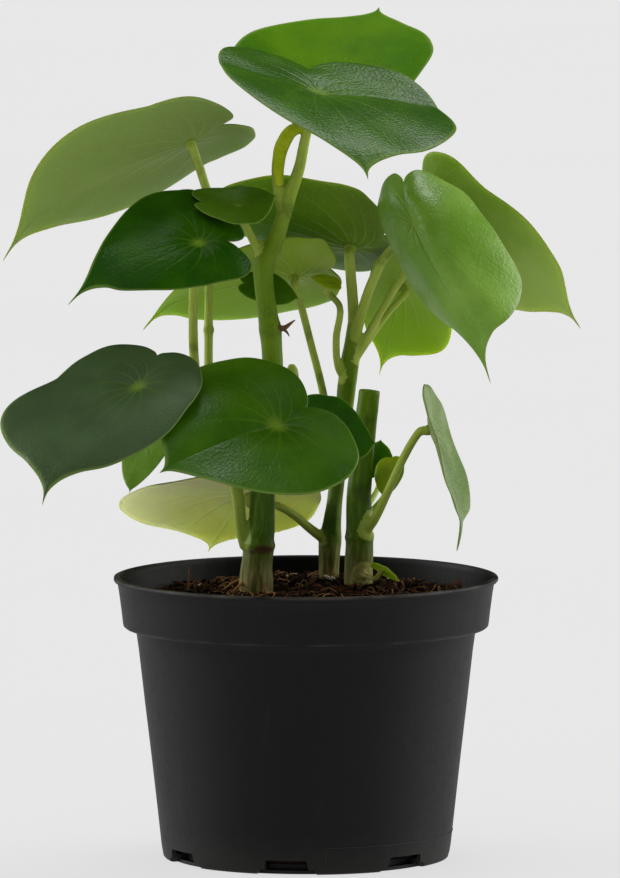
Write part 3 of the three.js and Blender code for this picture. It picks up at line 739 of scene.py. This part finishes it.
def lay_along(mesh, lines):
    """Each point's place round and along its stalk, so that streaks follow the stalks."""
    rows = [(line, index) for line in lines for index in range(len(line[0]))]
    tree = KDTree(len(rows))
    travelled = {}
    for number, ((path, tangents, sides), index) in enumerate(rows):
        tree.insert(path[index, :3] * MM, number)
        if index == 0:
            travelled[number] = 0.0
        else:
            stride = np.linalg.norm(path[index, :3] - path[index - 1, :3])
            travelled[number] = travelled[number - 1] + stride
    tree.balance()
    lay = []
    girth = []
    scar = []
    for vertex in mesh.vertices:
        best = None
        for _, number, distance in tree.find_n(vertex.co, 4):
            (path, tangents, sides), index = rows[number]
            depth = distance / MM - path[index, 3]
            if best is None or depth < best[0]:
                best = (depth, number)
        (path, tangents, sides), index = rows[best[1]]
        offset = np.array(vertex.co) / MM - path[index, :3]
        first = np.dot(offset, sides[index])
        second = np.dot(offset, np.cross(tangents[index], sides[index]))
        run = travelled[best[1]] + np.dot(offset, tangents[index])
        lay.append((first * MM, second * MM, run * MM))
        girth.append(path[index, 3] * MM)
        scar.append(scarring(np.array(vertex.co) / MM))
    mark(mesh, "lay", lay, "FLOAT_VECTOR")
    mark(mesh, "girth", girth)
    mark(mesh, "scar", scar)


# Old leaf scars: [x, y, z, reach] in mm.
leaf_scars = [
    (-13.5, -5, 96.8, 3.4), (-11, -4.6, 96.4, 2.6), (-8.2, -1, 166, 2.2), (-17, -4.4, 96, 1.6),
]


def scarring(place):
    amount = 0.0
    for x, y, z, reach in leaf_scars:
        offset = (place - np.array((x, y, z))) * (1, 1, 1.9)
        amount = max(amount, 1 - np.linalg.norm(offset) / reach)
    return min(max(amount * 2.2, 0), 0.9)


skin_grids = {"stem_left": 0.45, "stem_middle": 0.42, "stem_right": 0.45}
for name, branches in stems.items():
    stem_piece(name, branches, skin_grids[name])


# ---------- nursery pot ----------
rim_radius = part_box("nursery_pot")[1].x / MM
foot_count = 7
first_foot_angle = -8
# Each cut: inner and outer radius, bottom and top in mm, then half its angle below and above.
foot_cuts = {
    "notch": (42, 50, -2, 1.6, 14, 11),
    "drain": (40, 50, 1.1, 4.5, 9, 8),
}


def pot_profile():
    outer = [
        (0, 0.05), (10, 0.02), (19.6, 0), (20, 0.2), (20, 1.4), (20.3, 1.6), (37.7, 1.6), (38, 1.3),
        (38, 0.3), (38.3, 0), (43.6, 0), (44.2, 0.15), (44.6, 0.6), (44.9, 2.2), (45.2, 4),
        (46.4, 15), (48.3, 32), (50.3, 49), (52.1, 65), (52.8, 70), (53.1, 71.4), (53.8, 72),
        (55.4, 72.3), (56.4, 72.3), (56.9, 72.7), (57.05, 73.4), (57.5, 77.4), (58.3, 83.4),
        (58.75, 86), (59.1, 86.4), (59.7, 86.6), (60, 87), (60, 87.5), (59.8, 87.85), (59.4, 88),
        (58.5, 88), (57.95, 87.8), (57.6, 87.2),
    ]
    inner = [
        (57.5, 86.2), (56.4, 78), (55.95, 74), (55.5, 73.3), (52.4, 71.9), (51.8, 71.2), (51.6, 70),
        (49.1, 49), (47.1, 32), (45.2, 15), (44, 4), (43.5, 3.1), (42.9, 2.8), (21.2, 2.8),
        (20.6, 2.6), (18.9, 1.35), (18.3, 1.2), (0, 1.2),
    ]
    return outer + inner


def pot_body(segments=224):
    points, faces, worn = [], [], []
    rows = []
    for radius, height in pot_profile():
        if radius == 0:
            points.append((0, 0, height))
            worn.append(0)
            rows.append([len(points) - 1])
            continue
        row = []
        for step in range(segments):
            angle = 2 * math.pi * step / segments
            way = Vector((math.cos(angle) * 1.5, math.sin(angle) * 1.5, height * 0.01))
            sag = noise.noise(way) * 0.35 * max(height - 20, 0) / 68
            full = radius + (sag if radius > 40 else 0)
            full = min(full, rim_radius)
            points.append((full * math.cos(angle), full * math.sin(angle), height))
            rub = noise.noise(Vector((math.cos(angle) * 9, math.sin(angle) * 9, height * 0.6)))
            edge = 0.8 if height > 87.4 and radius > 58 else 0
            foot = 0.5 if height < 0.5 and radius > 40 else 0
            collar = 0.35 if 72 < height < 73 and radius > 56 else 0
            worn.append(min(1, max(0, (edge + foot + collar) * (0.55 + rub))))
            row.append(len(points) - 1)
        rows.append(row)
    for lower, upper in zip(rows, rows[1:]):
        for step in range(segments):
            after = (step + 1) % segments
            if len(lower) == 1:
                faces.append((lower[0], upper[after], upper[step]))
            elif len(upper) == 1:
                faces.append((lower[step], lower[after], upper[0]))
            else:
                faces.append((lower[step], lower[after], upper[after], upper[step]))
    mesh = mesh_from("nursery_pot", np.array(points) * MM, faces)
    mark(mesh, "worn", worn)
    return mesh


def sector(inner, outer, bottom, top, middle, half_bottom, half_top, steps=8):
    points, faces = [], []
    for step in range(steps + 1):
        share = 2 * step / steps - 1
        for height, half in ((bottom, half_bottom), (top, half_top)):
            angle = math.radians(middle + share * half)
            for radius in (inner, outer):
                points.append((radius * math.sin(angle), -radius * math.cos(angle), height))
    for step in range(steps):
        here = step * 4
        there = here + 4
        faces += [(here, here + 1, there + 1, there), (here + 2, there + 2, there + 3, here + 3),
                  (here + 1, here + 3, there + 3, there + 1), (here, there, there + 2, here + 2)]
    last = steps * 4
    faces += [(0, 2, 3, 1), (last, last + 1, last + 3, last + 2)]
    return points, [face[::-1] for face in faces]


def notched_pot():
    body = placed("pot_body", pot_body())
    cutters = []
    for group, (inner, outer, bottom, top, half_bottom, half_top) in foot_cuts.items():
        middles = [first_foot_angle + 360 / foot_count * foot for foot in range(foot_count)]
        points, faces = gathered(
            sector(inner, outer, bottom, top, middle, half_bottom, half_top) for middle in middles)
        cutter = placed(group, mesh_from(group, np.array(points) * MM, faces))
        cut = body.modifiers.new(group, "BOOLEAN")
        cut.operation = "DIFFERENCE"
        cut.solver = "EXACT"
        cut.object = cutter
        cutters.append(cutter)
    bpy.context.view_layer.update()
    mesh = bpy.data.meshes.new_from_object(body.evaluated_get(bpy.context.evaluated_depsgraph_get()))
    for spare in (body, *cutters):
        bpy.data.objects.remove(spare)
    mesh.name = "nursery_pot"
    mesh.materials.clear()
    return mesh


pot = add_piece("pot_shell", notched_pot(), "pot_plastic", "moulded_black", stands_for="nursery_pot")
pot.data.set_sharp_from_angle(angle=math.radians(38))


def wall_radius(height):
    return float(np.interp(height, [4, 71], [45.2, 52.9]))


def moulded_line(name, places):
    """A fine raised line on the wall, through [angle from the front in degrees, height in mm]."""
    rows = []
    for degrees, height in smooth_path(places, 1):
        angle = math.radians(degrees)
        radius = wall_radius(height) + 0.04
        rows.append((radius * math.sin(angle), -radius * math.cos(angle), height, 0.14))
    path = np.array(rows)
    tangents = np.gradient(path[:, :3], axis=0)
    tangents /= np.linalg.norm(tangents, axis=1, keepdims=True)
    sides = np.cross(tangents, path[:, :3] * (1, 1, 0))
    sides /= np.linalg.norm(sides, axis=1, keepdims=True)
    points, faces = tube(path, tangents, sides, 6)
    mesh = mesh_from(name, np.array(points) * MM, faces)
    mark(mesh, "worn", [0.35] * len(points))
    return add_piece(name, mesh, "pot_plastic", "moulded_black")


rising = [(7.6, 2.4), (7.6, 5.5), (7.7, 8.3)]
level = [(step * 4 + 8, 8.5) for step in range(24)]
moulded_line("mould_line", rising + level)


# ---------- soil ----------
soil_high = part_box("potting_soil")[1]
soil_top = soil_high.z / MM
soil_radius = soil_high.x / MM


def soil_height(x, y):
    reach = math.hypot(x, y)
    mound = 0.9 * math.exp(-((x - 8) ** 2 + (y - 26) ** 2) / 400) - 1.9 * (abs(x) / 56) ** 3
    rough = noise.fractal(Vector((x * 0.11, y * 0.11, 3)), 1.0, 2.1, 4) * 1.5
    crumbs = noise.fractal(Vector((x * 0.7, y * 0.7, 9)), 1.0, 2.0, 3) * 0.45
    edge = -1.6 * max(reach / soil_radius, 0.0) ** 6
    return soil_top - 1.2 + mound + rough + crumbs + edge


def soil_body():
    rays, rings = 260, 84
    points = [(0, 0, soil_height(0, 0))]
    for ring in range(1, rings + 1):
        radius = (soil_radius - 0.5) * ring / rings
        for ray in range(rays):
            angle = 2 * math.pi * ray / rays
            x = radius * math.cos(angle)
            y = radius * math.sin(angle)
            points.append((x, y, soil_height(x, y)))
    lower = [(55.2, 74.6), (51, 71), (43.2, 5.4), (42.2, 3.3), (21, 3.25), (18, 1.7)]
    for radius, height in lower:
        for ray in range(rays):
            angle = 2 * math.pi * ray / rays
            points.append((radius * math.cos(angle), radius * math.sin(angle), height))
    points.append((0, 0, 1.7))
    faces = [(0, 1 + ray, 1 + (ray + 1) % rays) for ray in range(rays)]
    for ring in range(rings - 1 + len(lower)):
        low = 1 + ring * rays
        for ray in range(rays):
            after = (ray + 1) % rays
            faces.append((low + ray, low + rays + ray, low + rays + after, low + after))
    last = len(points) - 1
    for ray in range(rays):
        faces.append((last, last - rays + (ray + 1) % rays, last - rays + ray))
    return mesh_from("potting_soil", np.array(points) * MM, faces)


add_piece("soil_body", soil_body(), "soil", "peat", stands_for="potting_soil")


def scatter(count):
    """Places on the soil, clear of the rim."""
    most = soil_radius - 1.5
    for _ in range(count):
        angle = random.uniform(0, 2 * math.pi)
        radius = math.sqrt(random.uniform(0, most ** 2))
        yield radius * math.cos(angle), radius * math.sin(angle)


def lump(points, faces, centre, sizes, uneven, detail=1):
    """An irregular rounded bit: a subdivided ball pushed in and out."""
    ball = bmesh.new()
    bmesh.ops.create_icosphere(ball, subdivisions=detail, radius=1)
    spin = random.uniform(0, 6.3)
    axle = Vector((random.random(), random.random(), random.random()))
    turn = Matrix.Rotation(spin, 3, axle)
    start = len(points)
    shift = Vector((random.uniform(0, 50), 0, 0))
    for vertex in ball.verts:
        place = vertex.co * (1 + uneven * noise.noise(vertex.co * 1.4 + shift))
        place = turn @ (place * Vector(sizes))
        points.append(Vector(centre) + place)
    for face in ball.faces:
        faces.append(tuple(vertex.index + start for vertex in face.verts))
    ball.free()


def chips_piece(name, places, material, sizes, uneven, sink, detail=1):
    points, faces = [], []
    for x, y in places:
        size = random.uniform(*sizes)
        long = size * random.uniform(0.9, 1.9)
        wide = size * random.uniform(0.6, 1.1)
        shape = (long, wide, size * random.uniform(0.35, 0.7))
        lump(points, faces, (x, y, soil_height(x, y) + size * sink), shape, uneven, detail)
    return add_piece(name, mesh_from(name, np.array(points) * MM, faces), "soil", material)


def fibres_piece(name, count, material, lengths, radius, lift):
    fibres = []
    for x, y in scatter(count):
        heading = random.uniform(0, 2 * math.pi)
        curl = random.uniform(-0.5, 0.5)
        length = random.uniform(*lengths)
        rise = random.uniform(0, lift)
        stations = []
        for step in range(5):
            arch = rise * math.sin(math.pi * step / 4) * random.uniform(0.6, 1)
            high = soil_height(x, y) + 0.15 + arch
            stations.append((x, y, high, radius * random.uniform(0.6, 1.1)))
            heading += curl + random.uniform(-0.5, 0.5)
            x += math.cos(heading) * length / 4
            y += math.sin(heading) * length / 4
            reach = math.hypot(x, y) / (soil_radius - 1)
            if reach > 1:
                x, y = x / reach, y / reach
        fibres.append(tube(*stalk_line(stations, 3), corners=4))
    points, faces = gathered(fibres)
    return add_piece(name, mesh_from(name, np.array(points) * MM, faces), "soil", material)


chips_piece("soil_crumbs", scatter(1500), "peat", (0.35, 1.0), 0.9, 0.2)
chips_piece("soil_bark", scatter(330), "bark", (0.5, 1.3), 0.8, 0.35)
stone_places = [
    (7, 22), (8.4, 21), (30, 10), (31.6, 9.2), (-20, -9), (26, 30), (-34, 12), (-6, 38), (3, -30),
]
chips_piece("soil_stones", stone_places, "stone", (0.7, 1.1), 0.5, 0.4, 2)
fibres_piece("soil_roots_fine", 620, "bark", (4, 12), 0.13, 1.6)
fibres_piece("soil_roots_pale", 170, "root", (4, 13), 0.15, 2.2)


def bent_twigs(name, twigs, material, slot):
    points, faces = gathered(tube(*stalk_line(twig, 6), corners=8) for twig in twigs)
    return add_piece(name, mesh_from(name, np.array(points) * MM, faces), slot, material)


# Aerial roots at the left stem's foot, a dry stick and a withered leaf base.
bent_twigs("foot_roots", [
    [(-20, -3, 86, 0.5), (-22, -6, 84.5, 0.4), (-24.5, -7, 82.6, 0.3), (-27, -7, 81.6, 0.2)],
    [(-19.5, 2, 87, 0.45), (-23, 3, 85.4, 0.35), (-26, 5, 83, 0.2)],
    [(-13, -5, 86, 0.4), (-12, -8, 84, 0.3), (-10, -10, 82.5, 0.2)],
    [(-37, 6, 81.5, 0.35), (-36.6, 6, 86, 0.3), (-36.4, 6, 90, 0.18)],
], "root", "soil")
bent_twigs("withered_base", [
    [(-8.6, -0.6, 165.4, 1.2), (-6.6, -0.8, 165.8, 0.8), (-5, -0.8, 167, 0.5),
     (-3.4, -0.9, 168.2, 0.15)],
    [(-7.4, -0.8, 165.6, 0.7), (-6, -0.9, 164.4, 0.4), (-5.2, -1, 163, 0.12)],
], "dry", "stem")


def young_sheath():
    """The bright flattened sheath that folds over beside the upper petioles."""
    line = [(-8.4, -0.4, 210, 1.1), (-8.6, -0.8, 216, 1.8), (-7.8, -1, 221.5, 2.2),
            (-5.2, -1, 226.4, 2.1), (-2.2, -0.8, 227.8, 1.7), (-0.6, -0.6, 226.4, 1.1)]
    path, tangents, sides = stalk_line(line, 8)
    points, faces = tube(path, tangents, sides, 24, ribbed)
    flat = [(point[0], -0.8 + (point[1] + 0.8) * 0.8, point[2]) for point in points]
    mesh = mesh_from("crown_sheath", np.array(flat) * MM, faces)
    return add_piece("crown_sheath", mesh, "young_leaf", "young_sheath")


young_sheath()


# ---------- floor, light and camera ----------
def soft_floor():
    mesh = mesh_from("floor", [(-30, -30, 0), (30, -30, 0), (30, 30, 0), (-30, 30, 0)], [(0, 1, 2, 3)])
    floor = placed("floor", mesh)
    finish = Finish("pale_floor")
    cloud = finish.grain(finish.place(), 3, 2)
    shade = finish.mix(cloud, tone(96, 96, 96), tone(98, 98, 98))
    glow = finish.mix(cloud, tone(229, 229, 229), tone(230, 230, 230))
    mesh.materials.append(finish.apply(Base_Color=shade, Roughness=0.9, Specular_IOR_Level=0.0,
                                       Emission_Color=glow, Emission_Strength=0.82))


def sun(name, azimuth, elevation, strength, spread):
    """A broad soft light from azimuth (0 is the front, 90 the right) and elevation, in degrees."""
    light = bpy.data.lights.new(name, "SUN")
    light.energy = strength
    light.angle = math.radians(spread)
    lamp = placed(name, light)
    turn = math.radians(azimuth)
    rise = math.radians(elevation)
    away = Vector((math.sin(turn) * math.cos(rise), -math.cos(turn) * math.cos(rise), math.sin(rise)))
    lamp.rotation_euler = away.to_track_quat("Z", "Y").to_euler()


def room_light(given, mirrored):
    """The room's glow: what it gives to surfaces, and the less that shows as reflections."""
    world = bpy.data.worlds.new("studio")
    bpy.context.scene.world = world
    world.use_nodes = True
    tree = world.node_tree
    ground = tree.nodes["Background"]
    ground.inputs["Color"].default_value = (1, 1, 1, 1)
    path = tree.nodes.new("ShaderNodeLightPath")
    level = tree.nodes.new("ShaderNodeMapRange")
    tree.links.new(path.outputs["Is Glossy Ray"], level.inputs[0])
    level.inputs[3].default_value = given
    level.inputs[4].default_value = mirrored
    tree.links.new(level.outputs[0], ground.inputs["Strength"])


soft_floor()
room_light(0.45, 0.05)
sun("top_softbox", -25, 62, 0.5, 50)
sun("left_softbox", -104, 18, 1.9, 40)
sun("right_softbox", 106, 18, 2.1, 40)
sun("back_softbox", 168, 72, 1.1, 24)

distance = 3.5
pitch = math.radians(5.7)
aim = Vector((1.2, 0, 130.9)) * MM
film = 36
view_height = 0.2734
camera_data = bpy.data.cameras.new("camera")
camera_data.sensor_fit = "VERTICAL"
camera_data.sensor_height = film
camera_data.sensor_width = film
camera_data.lens = film * distance / view_height
camera_data.clip_end = 100
camera = placed("camera", camera_data)
camera.location = aim + Vector((0, -math.cos(pitch), math.sin(pitch))) * distance
camera.rotation_euler = (math.pi / 2 - pitch, 0, 0)
bpy.context.scene.camera = camera
bpy.context.scene.view_settings.view_transform = "Standard"

bpy.context.view_layer.update()
